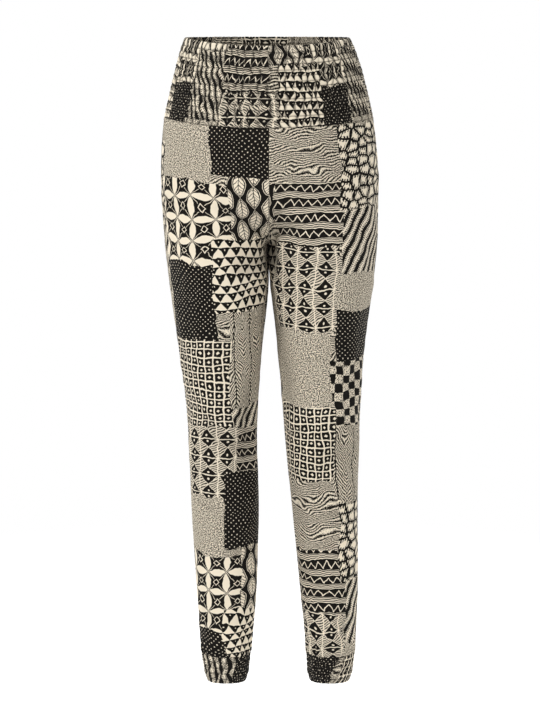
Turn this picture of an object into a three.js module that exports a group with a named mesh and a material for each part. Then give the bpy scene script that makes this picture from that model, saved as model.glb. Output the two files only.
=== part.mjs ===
// Pull-on leggings in a light woven cloth, standing as they do when worn, with no wearer in them.
// A deep waistband is shirred on elastic rows, four leg panels taper to the ankle, and a shirred cuff
// closes each leg. Right and left are the wearer's: the right leg is at -X, and the front faces -Y.
// Millimetres, +Z up, origin in the middle of the waist opening, level with the rim at the sides.
import * as THREE from "three";

// ---------------------------------------------------------------- driving sizes
const SEAM_GAP = 0.3; // left between two pieces that are sewn together
const CLOTH = 1.4; // wall of a leg panel
const BAND_CLOTH = 2.2; // wall of the faced waistband, under its puffs
const CUFF_CLOTH = 1.8; // wall of a cuff, under its puffs

const BAND_DEPTH = 119; // waistband, from its rim to the seam of the legs
const FRONT_DIP = 11; // the waist is this much lower at the centre front than at the sides
const CROTCH = 314; // from the rim down to the crotch
const RISE_CURVE = 90; // height over which the rise seam turns under the body
const HIP_EASE = 135; // height over which the outer part of a panel turns from leg to hip
const CUFF_TOP = 967; // from the rim down to the seam of the cuffs
const HEM = 1012; // from the rim down to the hem

const BAND_GATHERS = 42; // on each half of the waistband
const BAND_ROWS = 13; // rows of puffs between the elastic threads
const BAND_HEADER = 10; // loose edge above the first elastic thread
const BAND_PUFF = 2.6; // how far a puff stands out of the waistband
const CUFF_GATHERS = 28; // round each cuff
const CUFF_ROWS = 4;
const CUFF_HEADER = 8; // loose edge below the last elastic thread
const CUFF_PUFF = 2.2;
const EDGE_FLUTE = 0.8; // how far the loose edge swings out between gathers, in puffs
const EDGE_PINCH = 0.2; // and at the gathers
const EDGE_WAVE = 0.012; // how far it waves up or down between gathers, as a share of the piece's depth
const BAND_INNER_ROWS = 4; // rows of the plain inner skins
const CUFF_INNER_ROWS = 3;

const FRONT_ROUND = 2.2; // how square the rings are: 2 is an ellipse
const BACK_ROUND = 2.5;
const LEG_ROUND = 2.12;
const SOFT_TURN = 2.2; // how gently a panel turns from leg to hip at the side seam, and at the rise seam
const SHARP_TURN = 0.5; // where one half makes a quarter of an ellipse
const HIP_SPREAD = 1.585; // brings the middle column of a panel over the middle of its leg

const PANEL_COLUMNS = 13;
const HIP_ROWS = [136, 162, 192]; // distances down of a panel's rows over the hip
const CURVE_ROWS = 7; // rows along the turn of the rise
const LEG_ROW_STEP = 29;

// Rings from the rim to the hem. Widths are from the middle plane, front and back are depths from the
// X axis, and seam is how far behind that axis the side seams and inseams run.
const SECTIONS = {
  columns: ["down", "outerRight", "innerRight", "innerLeft", "outerLeft", "front", "back", "seam"],
  rows: [
    [0, 126, 0.6, 0.6, 123, 89, 90, 0],
    [40, 140, 0.6, 0.6, 138, 97, 98, 0],
    [80, 150, 0.6, 0.6, 149, 103, 104, 0],
    [120, 159, 0.6, 0.6, 158, 107, 111, 0],
    [180, 165, 0.6, 0.6, 166, 109, 123, 2],
    [240, 165, 0.6, 0.6, 168, 106, 128, 5],
    [314, 161, 0.6, 0.6, 167, 99, 118, 7],
    [400, 151, 2.2, 4.4, 158, 91, 98, 5],
    [480, 140, 11, 14, 148, 82, 82, 1],
    [560, 130, 17, 20.5, 143, 73, 69, -3],
    [640, 125, 19, 27, 141, 65, 61, -4],
    [720, 123, 16, 35, 140, 56, 62, 2],
    [800, 119, 17.5, 43, 141, 50, 59, 4],
    [880, 114, 21, 51, 141, 45, 52, 4],
    [967, 107, 30.5, 60.5, 136, 39, 43, 2],
    [1012, 101, 35, 63, 131, 35, 38, 2],
  ],
};

// The largest creases. Each runs across a panel from one place to another, as a share of the way from
// the side seam to the inseam or middle, and a distance down from the rim.
const CREASES = {
  columns: ["panel", "fromShare", "fromDown", "toShare", "toDown", "width", "depth"],
  rows: [
    ["front_right", 1.0, 304, 0.5, 236, 13, 5],
    ["front_right", 1.02, 288, 0.62, 214, 11, 3.5],
    ["front_right", 0.97, 326, 0.55, 350, 15, 3],
    ["front_right", 0.77, 505, 0.72, 700, 17, 4.5],
    ["front_right", 0.3, 560, 0.62, 640, 16, 2.5],
    ["front_left", 0.98, 256, 0.8, 362, 13, 6],
    ["front_left", 1.0, 300, 0.6, 270, 13, 3.5],
    ["front_left", 0.86, 420, 0.8, 590, 16, 3.5],
    ["front_left", 0.3, 600, 0.6, 668, 16, 2.5],
    ["back_right", 1.0, 318, 0.42, 286, 15, 5],
    ["back_right", 0.95, 346, 0.4, 352, 16, 4],
    ["back_right", 0.2, 596, 0.8, 616, 15, 4],
    ["back_right", 0.25, 640, 0.7, 652, 14, 3],
    ["back_left", 1.0, 322, 0.5, 272, 14, 5],
    ["back_left", 0.96, 350, 0.46, 338, 16, 4],
    ["back_left", 0.16, 604, 0.82, 590, 15, 4],
    ["back_left", 0.3, 652, 0.76, 634, 14, 3],
  ],
};
const ACROSS = 1.55; // a panel's width round the leg, as a share of the leg's breadth
const RIDGE_PLACE = 1.7; // the low ridge beside a crease, in widths from its line
const RIDGE_HEIGHT = 0.4; // and as a share of the crease's depth
const SMOOTH_EDGE = 0.06; // share of a panel next to a seam over which creases flatten out

// ---------------------------------------------------------------- small helpers
const lerp = THREE.MathUtils.lerp;
const clamp = THREE.MathUtils.clamp;
const power = (value, exponent) => Math.sign(value) * Math.abs(value) ** exponent;
const range = (count) => [...Array(count).keys()];

// A smooth function of the distance down, through one column of the sections.
function column(name) {
  const at = SECTIONS.columns.indexOf(name);
  const knots = SECTIONS.rows.map((row) => new THREE.Vector2(row[0], row[at]));
  const last = knots.length - 1;
  const slope = (i) => {
    const before = knots[Math.max(i - 1, 0)];
    const after = knots[Math.min(i + 1, last)];
    return (after.y - before.y) / (after.x - before.x);
  };
  return (down) => {
    let i = 0;
    while (i < last - 1 && knots[i + 1].x < down) i += 1;
    const step = knots[i + 1].x - knots[i].x;
    const t = clamp((down - knots[i].x) / step, 0, 1);
    const a = (2 * t ** 3 - 3 * t ** 2 + 1) * knots[i].y + (t ** 3 - 2 * t ** 2 + t) * step * slope(i);
    const b = (3 * t ** 2 - 2 * t ** 3) * knots[i + 1].y + (t ** 3 - t ** 2) * step * slope(i + 1);
    return a + b;
  };
}

const seamAt = column("seam");
const SIDES = {
  right: { sign: -1, outer: column("outerRight"), inner: column("innerRight") },
  left: { sign: 1, outer: column("outerLeft"), inner: column("innerLeft") },
};
const FACES = {
  front: { sign: -1, depth: column("front"), dip: FRONT_DIP, round: FRONT_ROUND },
  back: { sign: 1, depth: column("back"), dip: 0, round: BACK_ROUND },
};

// ---------------------------------------------------------------- the garment's surface
// A place on the hip ring: turn is 0 at the side seam and a quarter turn at the middle of the face.
function hipPoint(side, face, turn, down) {
  const gap = SEAM_GAP / 2;
  const x = gap + (side.outer(down) - gap) * power(Math.cos(turn), 2 / face.round);
  const reach = face.depth(down) + face.sign * -seamAt(down) - gap;
  const y = gap + reach * power(Math.sin(turn), 2 / face.round);
  return new THREE.Vector3(side.sign * x, seamAt(down) + face.sign * y, -down);
}

// A place on a leg's ring: turn is 0 at the side seam and a half turn at the inseam.
function legPoint(side, face, turn, down) {
  const outer = side.outer(down);
  const inner = side.inner(down);
  const gap = SEAM_GAP / 2;
  const x = (outer + inner) / 2 + ((outer - inner) / 2) * power(Math.cos(turn), 2 / LEG_ROUND);
  const reach = face.depth(down) + face.sign * -seamAt(down) - gap;
  const y = gap + reach * power(Math.max(Math.sin(turn), 0), 2 / LEG_ROUND);
  return new THREE.Vector3(side.sign * x, seamAt(down) + face.sign * y, -down);
}

const hipTurn = (share) => (Math.PI / 2) * (1 - (1 - share) ** HIP_SPREAD);
const dipAt = (face, turn) => face.dip * Math.sin(turn) ** 2;

// How far a place has turned from a leg's ring, 0, into the hip ring, 1. The rise seam turns through a
// quarter of an ellipse, and away from it the turn softens.
function bridge(share, down) {
  const nearRise = share ** 3;
  const t = clamp((CROTCH - down) / lerp(HIP_EASE, RISE_CURVE, nearRise), 0, 1);
  return (1 - (1 - t) ** 2) ** lerp(SOFT_TURN, SHARP_TURN, nearRise);
}

// A soft trough across a panel, with a low ridge beside it, fading out at both its ends.
function creaseDepth(panel, side, share, down) {
  const breadth = ACROSS * (side.outer(down) - side.inner(down));
  let total = 0;
  for (const [name, fromShare, fromDown, toShare, toDown, width, depth] of CREASES.rows) {
    if (name !== panel) continue;
    const along = new THREE.Vector2((toShare - fromShare) * breadth, toDown - fromDown);
    const place = new THREE.Vector2((share - fromShare) * breadth, down - fromDown);
    const length = along.length();
    const t = place.dot(along) / length ** 2;
    const off = place.cross(along) / length;
    if (t < 0 || t > 1) continue;
    const fade = Math.sin(Math.PI * t);
    total -= depth * fade * Math.exp(-((off / width) ** 2));
    total += RIDGE_HEIGHT * depth * fade * Math.exp(-((off / width - RIDGE_PLACE) ** 2));
  }
  return total;
}

// ---------------------------------------------------------------- closed walls
// Triangles between two rows of points that run the same way, each row given as vertex numbers.
function zip(points, first, second) {
  const triangles = [];
  let i = 0;
  let j = 0;
  while (i < first.length - 1 || j < second.length - 1) {
    const stepFirst = i < first.length - 1 ? points[first[i + 1]].distanceTo(points[second[j]]) : Infinity;
    const stepSecond = j < second.length - 1 ? points[second[j + 1]].distanceTo(points[first[i]]) : Infinity;
    if (stepFirst <= stepSecond) {
      triangles.push([first[i], first[i + 1], second[j]]);
      i += 1;
    } else {
      triangles.push([first[i], second[j + 1], second[j]]);
      j += 1;
    }
  }
  return triangles;
}

// Closes an outer and an inner skin into one wall. Each skin has points, triangles and the edges that
// go round it, which match those of the other skin one by one.
function wall(outer, inner) {
  const shift = outer.points.length;
  const points = [...outer.points, ...inner.points];
  const triangles = [
    ...outer.triangles,
    ...inner.triangles.map(([a, b, c]) => [a + shift, c + shift, b + shift]),
  ];
  outer.edges.forEach((edge, k) => {
    triangles.push(...zip(points, edge, inner.edges[k].map((v) => v + shift)));
  });
  const volume = triangles.reduce((sum, [a, b, c]) => {
    return sum + points[a].dot(new THREE.Vector3().crossVectors(points[b], points[c]));
  }, 0);
  const facing = volume > 0 ? triangles : triangles.map(([a, b, c]) => [a, c, b]);
  const geometry = new THREE.BufferGeometry().setFromPoints(points);
  geometry.setIndex(facing.flat());
  geometry.computeVertexNormals();
  return geometry;
}

// A skin over a grid of points, rows by columns. A closed one joins its last column to its first.
function gridSkin(grid, closed = false) {
  const rows = grid.length;
  const columns = grid[0].length;
  const vertex = (j, i) => j * columns + (i % columns);
  const triangles = [];
  for (const j of range(rows - 1)) {
    for (const i of range(closed ? columns : columns - 1)) {
      triangles.push([vertex(j, i), vertex(j + 1, i), vertex(j + 1, i + 1)]);
      triangles.push([vertex(j, i), vertex(j + 1, i + 1), vertex(j, i + 1)]);
    }
  }
  const top = range(closed ? columns + 1 : columns).map((i) => vertex(0, i));
  const bottom = range(closed ? columns + 1 : columns).map((i) => vertex(rows - 1, i));
  const start = range(rows).map((j) => vertex(j, 0));
  const end = range(rows).map((j) => vertex(j, columns - 1));
  const edges = closed ? [top, bottom.reverse()] : [top, end, bottom.reverse(), start.reverse()];
  return { points: grid.flat(), triangles, edges };
}

// The same grid moved by a distance square to its surface. The first and last rows move level, so that
// the pieces above and below stay parted by their seam.
function offsetGrid(grid, distance, keepClear) {
  const last = { row: grid.length - 1, column: grid[0].length - 1 };
  return grid.map((row, j) =>
    row.map((point, i) => {
      const across = grid[j][Math.min(i + 1, last.column)].clone().sub(grid[j][Math.max(i - 1, 0)]);
      const along = grid[Math.min(j + 1, last.row)][i].clone().sub(grid[Math.max(j - 1, 0)][i]);
      const normal = across.cross(along);
      if (j === 0 || j === last.row) normal.z = 0;
      return keepClear(point.clone().addScaledVector(normal.normalize(), distance));
    }),
  );
}

// ---------------------------------------------------------------- leg panels
// Distances down of a panel's rows, close together where the rise turns under the body.
function panelRows() {
  const top = [BAND_DEPTH + SEAM_GAP, ...HIP_ROWS];
  const curve = range(CURVE_ROWS + 1).map((k) => {
    return CROTCH - RISE_CURVE * (1 - Math.cos((Math.PI / 2) * (1 - k / CURVE_ROWS)));
  });
  const bottom = CUFF_TOP - SEAM_GAP;
  const steps = Math.round((bottom - CROTCH) / LEG_ROW_STEP);
  const legs = range(steps).map((k) => lerp(CROTCH, bottom, (k + 1) / steps));
  return [...top, ...curve, ...legs];
}

function panelPoint(side, face, share, down) {
  const turn = hipTurn(share);
  const fade = clamp(1 - (down - BAND_DEPTH) / (CROTCH - BAND_DEPTH), 0, 1);
  const lowered = down + dipAt(face, turn) * fade;
  const hip = hipPoint(side, face, turn, lowered);
  const leg = legPoint(side, face, Math.PI * share, lowered);
  return leg.lerp(hip, bridge(share, lowered));
}

// The panel's surface with its creases, pushed along the level direction away from the leg's middle.
function creasedPoint(name, side, face, share, down) {
  const point = panelPoint(side, face, share, down);
  const centre = (side.sign * (side.outer(down) + side.inner(down))) / 2;
  const outwards = new THREE.Vector3(point.x - centre, point.y - seamAt(down), 0).normalize();
  const edge = clamp(Math.min(share, 1 - share) / SMOOTH_EDGE, 0, 1);
  return point.addScaledVector(outwards, edge * creaseDepth(name, side, share, down));
}

function panelGeometry(sideName, faceName) {
  const side = SIDES[sideName];
  const face = FACES[faceName];
  const name = faceName + "_" + sideName;
  const grid = panelRows().map((down) =>
    range(PANEL_COLUMNS + 1).map((i) => creasedPoint(name, side, face, i / PANEL_COLUMNS, down)),
  );
  const clear = (point) => {
    const behind = seamAt(-point.z);
    point.x = side.sign * Math.max(side.sign * point.x, SEAM_GAP / 2);
    point.y = behind + face.sign * Math.max(face.sign * (point.y - behind), SEAM_GAP / 2);
    return point;
  };
  const intoLeg = side.sign * face.sign * CLOTH;
  return wall(gridSkin(grid), gridSkin(offsetGrid(grid, intoLeg, clear)));
}

// ---------------------------------------------------------------- shirred pieces
// Puffs swell a little unevenly, by two waves out of step, so that no two neighbours are quite alike.
const uneven = (i, k) => 1 + 0.16 * Math.sin(2.4 * i + 4.1 * k) + 0.08 * Math.sin(5.3 * i - 2.7 * k);

// A shirred skin: each puff is a low pyramid between two gathers and two elastic threads, and the loose
// edge past the first thread is fluted. place(step, level, out) gives a point of the piece, where step
// counts gathers, level is 0 at the loose edge and 1 at the seam, and out is the distance outwards.
function shirredSkin({ gathers, rows, header, height, puff, place, closed }) {
  const columns = closed ? gathers : gathers + 1;
  const points = [];
  const add = (step, level, out) => points.push(place(step, level, out)) - 1;
  const levels = range(rows + 1).map((k) => lerp(header, height, k / rows) / height);
  const threads = levels.map((level) => range(columns).map((i) => add(i, level, 0)));
  const peaks = range(rows).map((k) =>
    range(gathers).map((i) => add(i + 0.5, (levels[k] + levels[k + 1]) / 2, puff * uneven(i, k))),
  );
  const valleys = range(columns).map((i) => add(i, 0, EDGE_PINCH * puff));
  const flutes = range(gathers).map((i) => {
    const swell = uneven(i, rows);
    return add(i + 0.5, -EDGE_WAVE * swell, EDGE_FLUTE * puff * swell);
  });
  const triangles = [];
  const next = (i) => (i + 1) % columns;
  for (const i of range(gathers)) {
    for (const k of range(rows)) {
      const corners = [threads[k][i], threads[k + 1][i], threads[k + 1][next(i)], threads[k][next(i)]];
      corners.forEach((corner, c) => triangles.push([corner, corners[(c + 1) % 4], peaks[k][i]]));
    }
    triangles.push([valleys[i], threads[0][i], flutes[i]]);
    triangles.push([flutes[i], threads[0][i], threads[0][next(i)]]);
    triangles.push([flutes[i], threads[0][next(i)], valleys[next(i)]]);
  }
  const around = range(gathers + 1).map((i) => i % columns);
  const rim = around.flatMap((i, k) => (k < gathers ? [valleys[i], flutes[k]] : [valleys[i]]));
  const seam = around.map((i) => threads[rows][i]);
  const sideOf = (i) => [valleys[i], ...threads.map((row) => row[i])];
  const edges = closed
    ? [rim, seam.reverse()]
    : [rim, sideOf(gathers), seam.reverse(), sideOf(0).reverse()];
  return { points, triangles, edges };
}

// A shirred wall: puffs outside, and a plain skin inside.
function shirredGeometry(piece, cloth, innerRows) {
  const columns = piece.closed ? piece.gathers : piece.gathers + 1;
  const plain = range(innerRows + 1).map((k) =>
    range(columns).map((i) => piece.place(i, k / innerRows, -cloth)),
  );
  return wall(shirredSkin(piece), gridSkin(plain, piece.closed));
}

// A level direction square to a ring, by stepping a little way round it. ring(turn) gives its points.
const TURN_STEP = 0.01;
function levelNormal(ring, turn, sign) {
  const tangent = ring(turn + TURN_STEP).sub(ring(turn - TURN_STEP)).setZ(0).normalize();
  return new THREE.Vector3(sign * tangent.y, -sign * tangent.x, 0);
}

function waistbandGeometry(faceName) {
  const face = FACES[faceName];
  const place = (step, level, out) => {
    const turn = (Math.PI * step) / BAND_GATHERS;
    const down = clamp(level, 0, 1) * BAND_DEPTH;
    const ring = (angle) => {
      const side = angle < Math.PI / 2 ? SIDES.left : SIDES.right;
      const quarter = angle < Math.PI / 2 ? angle : Math.PI - angle;
      return hipPoint(side, face, quarter, down + dipAt(face, quarter));
    };
    const point = ring(turn);
    point.z = -(level * BAND_DEPTH + dipAt(face, turn));
    const offTheEnds = clamp(turn, 2 * TURN_STEP, Math.PI - 2 * TURN_STEP);
    point.addScaledVector(levelNormal(ring, offTheEnds, face.sign), out);
    point.y = seamAt(down) + face.sign * Math.max(face.sign * (point.y - seamAt(down)), SEAM_GAP / 2);
    return point;
  };
  const piece = {
    gathers: BAND_GATHERS,
    rows: BAND_ROWS,
    header: BAND_HEADER,
    height: BAND_DEPTH,
    puff: BAND_PUFF,
    place,
    closed: false,
  };
  return shirredGeometry(piece, BAND_CLOTH, BAND_INNER_ROWS);
}

function cuffGeometry(sideName) {
  const side = SIDES[sideName];
  const height = HEM - CUFF_TOP;
  const place = (step, level, out) => {
    const turn = (2 * Math.PI * step) / CUFF_GATHERS;
    const down = HEM - clamp(level, 0, 1) * height;
    const ring = (angle) => {
      const face = Math.sin(angle) >= 0 ? FACES.front : FACES.back;
      const half = Math.acos(clamp(Math.cos(angle), -1, 1));
      return legPoint(side, face, half, down);
    };
    const point = ring(turn);
    point.z = -(HEM - level * height);
    return point.addScaledVector(levelNormal(ring, turn, -side.sign), out);
  };
  const piece = {
    gathers: CUFF_GATHERS,
    rows: CUFF_ROWS,
    header: CUFF_HEADER,
    height,
    puff: CUFF_PUFF,
    place,
    closed: true,
  };
  return shirredGeometry(piece, CUFF_CLOTH, CUFF_INNER_ROWS);
}

// ---------------------------------------------------------------- the pieces
const printedCloth = new THREE.MeshStandardMaterial({ color: 0x8a8174, roughness: 0.9, metalness: 0 });
const shirredCloth = new THREE.MeshStandardMaterial({ color: 0x857b6e, roughness: 0.92, metalness: 0 });

const leggings = new THREE.Group();

function addPiece(name, geometry, material) {
  const mesh = new THREE.Mesh(geometry, material);
  mesh.name = name;
  leggings.add(mesh);
}

for (const face of ["front", "back"]) {
  addPiece("waistband_" + face, waistbandGeometry(face), shirredCloth);
  for (const side of ["right", "left"]) {
    addPiece("leg_" + face + "_" + side, panelGeometry(side, face), printedCloth);
  }
}
for (const side of ["right", "left"]) {
  addPiece("cuff_" + side, cuffGeometry(side), shirredCloth);
}

export default leggings;
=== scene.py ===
import math
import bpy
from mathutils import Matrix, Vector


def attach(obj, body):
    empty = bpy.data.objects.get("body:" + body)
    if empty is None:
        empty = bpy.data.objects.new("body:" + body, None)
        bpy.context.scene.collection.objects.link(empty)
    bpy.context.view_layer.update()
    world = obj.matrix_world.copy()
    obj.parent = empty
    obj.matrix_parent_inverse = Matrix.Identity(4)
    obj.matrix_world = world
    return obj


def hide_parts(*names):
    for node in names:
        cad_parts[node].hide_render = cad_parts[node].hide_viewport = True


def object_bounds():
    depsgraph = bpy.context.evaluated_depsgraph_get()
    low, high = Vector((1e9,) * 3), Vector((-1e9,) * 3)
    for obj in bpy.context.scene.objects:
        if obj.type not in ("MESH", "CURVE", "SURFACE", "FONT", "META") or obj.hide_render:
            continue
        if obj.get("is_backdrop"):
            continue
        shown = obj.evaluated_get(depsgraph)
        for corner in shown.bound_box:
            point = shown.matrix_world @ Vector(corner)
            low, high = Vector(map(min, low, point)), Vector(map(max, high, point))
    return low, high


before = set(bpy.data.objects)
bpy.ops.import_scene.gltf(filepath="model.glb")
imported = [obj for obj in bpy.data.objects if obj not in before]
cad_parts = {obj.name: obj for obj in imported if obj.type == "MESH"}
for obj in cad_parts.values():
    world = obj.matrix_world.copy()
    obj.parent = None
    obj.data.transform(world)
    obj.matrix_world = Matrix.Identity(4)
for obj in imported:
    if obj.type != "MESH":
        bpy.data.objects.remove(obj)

from types import SimpleNamespace

import bpy
import numpy as np
from mathutils import Vector

cad_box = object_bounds()

# ---------------------------------------------------------------- sizes, in millimetres
# Distances down are from the rim of the waistband. The wearer's left is +X and their back is +Y.
MM = 0.001
# Between two panels, and then the places down the garment and how thick its cloth is.
SEAM_GAP = 0.3
FRONT_DIP = 11.0
CROTCH = 314.0
RISE_CURVE = 90.0
HIP_EASE = 135.0
CUFF_TOP = 967.0
HEM = 1012.0
CLOTH = 1.0

# The two kinds of shirring: gathers round it, rows of elastic thread, its depth and loose header, how
# far it puffs out, how far its loose edge rolls in, its doubled wall, how full its cloth was before it
# was drawn in, and how finely a gather and a wall are meshed.
BAND = SimpleNamespace(
    gathers=42, threads=13, depth=119.0, header=10.0, puff=3.1, roll=1.6, wall=2.0, fullness=1.8,
    columns=8, rows=97,
)
CUFF = SimpleNamespace(
    gathers=28, threads=4, depth=HEM - CUFF_TOP, header=8.0, puff=1.9, roll=3.0, wall=1.6, fullness=1.4,
    columns=9, rows=44,
)
# How many gathers a cuff's puffs slant for each row, and how much lower its hem hangs at the two sides
# and all round.
CUFF_SLANT = 0.42
HEM_DROP = 2.6
HEM_FULL = 0.6

# How square the sections are: 2 is an ellipse. Then how softly a leg turns into the hips at its side and
# at the rise, and how columns spread from the side seam to the middle.
FRONT_ROUND = 2.2
BACK_ROUND = 2.5
LEG_ROUND = 2.12
SOFT_TURN = 2.2
SHARP_TURN = 0.5
HIP_SPREAD = 1.585

# Half breadths to the side seam and to the inseam of each leg, depths to the front and the back, and
# how far back the side seam lies.
SECTION_COLUMNS = ["down", "outer_right", "inner_right", "inner_left", "outer_left", "front", "back", "seam"]
SECTIONS = np.array([
    [0, 128.5, 0.6, 0.6, 123, 89, 90, 0],
    [40, 140, 0.6, 0.6, 138, 97, 98, 0],
    [80, 150, 0.6, 0.6, 149, 103, 104, 0],
    [120, 159, 0.6, 0.6, 158, 107, 111, 0],
    [180, 165, 0.6, 0.6, 166, 109, 123, 2],
    [240, 165, 0.6, 0.6, 168, 106, 128, 5],
    [314, 161, 0.6, 0.6, 167, 99, 118, 7],
    [350, 157.2, 0.4, 0.4, 163.8, 95.7, 110, 6.6],
    [400, 151, 2.2, 4.4, 158, 91, 98, 5],
    [480, 140, 11, 14, 148, 82, 82, 1],
    [560, 130, 17, 20.5, 143, 73, 69, -3],
    [640, 125, 19, 27, 141, 65, 61, -4],
    [720, 123, 16, 35, 140, 56, 62, 2],
    [800, 119, 17.5, 43, 141, 50, 59, 4],
    [880, 114, 21, 51, 141, 45, 52, 4],
    [967, 107, 30.5, 60.5, 136, 39, 43, 2],
    [1012, 101, 35, 63, 131, 35, 38, 2],
])

# Creases run across a panel from one place to another, each place a share of the way from the side
# seam to the inseam or middle, and a distance down. Then come the crease's width and depth. The wide
# ones, which come first, are the solids' own.
CREASES = {
    "front_right": [
        (1.0, 304, 0.5, 236, 13, 5),
        (1.02, 288, 0.62, 214, 11, 3.5),
        (0.97, 326, 0.55, 350, 15, 3),
        (0.77, 505, 0.72, 700, 17, 4.5),
        (0.3, 560, 0.62, 640, 16, 2.5),
        (0.99, 270, 0.74, 206, 5, 2.4),
        (0.95, 316, 0.7, 300, 6, 2.6),
        (0.98, 342, 0.7, 392, 7, 2.2),
        (0.06, 222, 0.34, 262, 8, 1.4),
        (0.1, 420, 0.24, 520, 8, 1.8),
        (0.9, 560, 0.62, 588, 6, 2.1),
        (0.86, 640, 0.5, 618, 6, 1.9),
        (0.2, 706, 0.5, 730, 7, 1.8),
        (0.88, 770, 0.6, 812, 6, 1.8),
        (0.16, 880, 0.4, 924, 6, 1.9),
    ],
    "front_left": [
        (0.98, 256, 0.8, 362, 13, 6),
        (1.0, 300, 0.6, 270, 13, 3.5),
        (0.86, 420, 0.8, 590, 16, 3.5),
        (0.3, 600, 0.6, 668, 16, 2.5),
        (1.0, 280, 0.72, 232, 5, 2.4),
        (0.94, 330, 0.7, 412, 6, 2.9),
        (0.1, 250, 0.36, 232, 8, 1.4),
        (0.14, 452, 0.3, 560, 8, 1.9),
        (0.9, 610, 0.58, 590, 6, 2.1),
        (0.84, 668, 0.44, 700, 6, 2.1),
        (0.2, 742, 0.48, 724, 7, 1.6),
        (0.86, 838, 0.56, 806, 6, 1.8),
        (0.22, 900, 0.46, 940, 6, 1.9),
    ],
    "back_right": [
        (1.0, 318, 0.42, 286, 15, 5),
        (0.95, 346, 0.4, 352, 16, 4),
        (0.2, 596, 0.8, 616, 15, 4),
        (0.25, 640, 0.7, 652, 14, 3),
        (0.98, 296, 0.6, 246, 6, 2.6),
        (0.94, 372, 0.55, 400, 7, 2.6),
        (0.12, 280, 0.36, 316, 8, 1.6),
        (0.3, 566, 0.7, 580, 6, 2.2),
        (0.24, 672, 0.62, 690, 6, 2.1),
        (0.84, 742, 0.5, 776, 6, 1.8),
        (0.2, 820, 0.42, 860, 7, 1.6),
        (0.8, 902, 0.6, 944, 6, 1.9),
    ],
    "back_left": [
        (1.0, 322, 0.5, 272, 14, 5),
        (0.96, 350, 0.46, 338, 16, 4),
        (0.16, 604, 0.82, 590, 15, 4),
        (0.3, 652, 0.76, 634, 14, 3),
        (0.98, 300, 0.64, 240, 6, 2.6),
        (0.92, 380, 0.5, 370, 7, 2.6),
        (0.1, 300, 0.3, 344, 8, 1.6),
        (0.24, 622, 0.7, 616, 6, 2.2),
        (0.36, 560, 0.74, 556, 6, 1.9),
        (0.8, 700, 0.46, 742, 6, 1.8),
        (0.16, 790, 0.4, 840, 7, 1.6),
        (0.78, 912, 0.54, 946, 6, 1.9),
    ],
}
# A panel's way round for each millimetre of a leg's width, the ridge beside a crease in widths and in
# shares of its depth, the share of a panel beside a seam where creases flatten, the cloth that a crease
# takes up, and from how many widths away.
ACROSS = 1.55
RIDGE_PLACE = 1.7
RIDGE_HEIGHT = 0.4
SMOOTH_EDGE = 0.06
CLOTH_TAKEN = 1.2
TAKEN_FROM = 4.0
# The cleft between the thighs: where it begins and ends, how broad and deep it is, how far it bends, and
# how near the middle a panel may come.
CLEFT_START = (300, 320)
CLEFT_END = (340, 364)
CLEFT_BREADTH = 12.0
CLEFT_DEPTH = 18.0
CLEFT_LEAN = 3.4
MIDDLE_CLEAR = 0.05
# How dark the painted shade in troughs and in the cleft is, and how deep a trough is whose painted shade is
# as dark as it gets.
SHADED_DEPTH = 7.0
TROUGH_SHADE = 0.5
CLEFT_SHADE = 0.64

# How finely the panels are meshed, how their seams dip, and how their edges are turned in: depths, and
# steps sideways or up.
PANEL_COLUMNS = 100
COLUMN_CROWDING = 0.55
ROW_STEP = 3.6
CURVE_ROWS = 34
SEAM_DIP = 0.9
SEAM_ROUND = 2.4
ALLOWANCE = [(1.2, 0.06), (4.5, 0.14), (8.0, 0.14)]
INSEAM_FROM = CROTCH - 4
INSEAM_TURN = 16.0
BAND_LAP = [(1.8, 0.2), (3.2, 2.4), (3.3, 7.0)]
CUFF_LAP = [(1.4, 0.2), (2.6, 2.2), (2.7, 7.0)]


# ---------------------------------------------------------------- small helpers
def lerp(a, b, share):
    return a + (b - a) * share


def power(value, exponent):
    return np.sign(value) * np.abs(value) ** exponent


def unit(vectors):
    return vectors / np.maximum(np.linalg.norm(vectors, axis=-1, keepdims=True), 1e-9)


def ease(value):
    t = np.clip(value, 0, 1)
    return t * t * (3 - 2 * t)


def column(name):
    """A smooth function of the distance down, through one column of the sections."""
    down, value = SECTIONS[:, 0], SECTIONS[:, SECTION_COLUMNS.index(name)]
    last = len(down) - 1
    before = np.maximum(np.arange(last + 1) - 1, 0)
    after = np.minimum(np.arange(last + 1) + 1, last)
    slope = (value[after] - value[before]) / (down[after] - down[before])

    def at(place):
        i = np.clip(np.searchsorted(down, place, side="right") - 1, 0, last - 1)
        step = down[i + 1] - down[i]
        t = np.clip((place - down[i]) / step, 0, 1)
        a = (2 * t**3 - 3 * t**2 + 1) * value[i] + (t**3 - 2 * t**2 + t) * step * slope[i]
        b = (3 * t**2 - 2 * t**3) * value[i + 1] + (t**3 - t**2) * step * slope[i + 1]
        return a + b

    return at


def waves(seed, shortest, longest, count=7):
    """A gentle unevenness over the cloth: waves of several lengths and directions, about -1 to 1 in all."""
    rng = np.random.default_rng(seed)
    lengths = rng.uniform(shortest, longest, count)
    headings = rng.uniform(0, math.pi, count)
    phases = rng.uniform(0, 2 * math.pi, count)

    def at(u, v):
        total = 0
        for length, heading, phase in zip(lengths, headings, phases):
            total = total + np.sin(
                2 * math.pi * (u * math.cos(heading) + v * math.sin(heading)) / length + phase
            )
        return total / math.sqrt(count)

    return at


seam_at = column("seam")
SIDES = {
    "right": SimpleNamespace(sign=-1, outer=column("outer_right"), inner=column("inner_right")),
    "left": SimpleNamespace(sign=1, outer=column("outer_left"), inner=column("inner_left")),
}
FACES = {
    "front": SimpleNamespace(sign=-1, depth=column("front"), dip=FRONT_DIP, round=FRONT_ROUND),
    "back": SimpleNamespace(sign=1, depth=column("back"), dip=0.0, round=BACK_ROUND),
}


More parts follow.
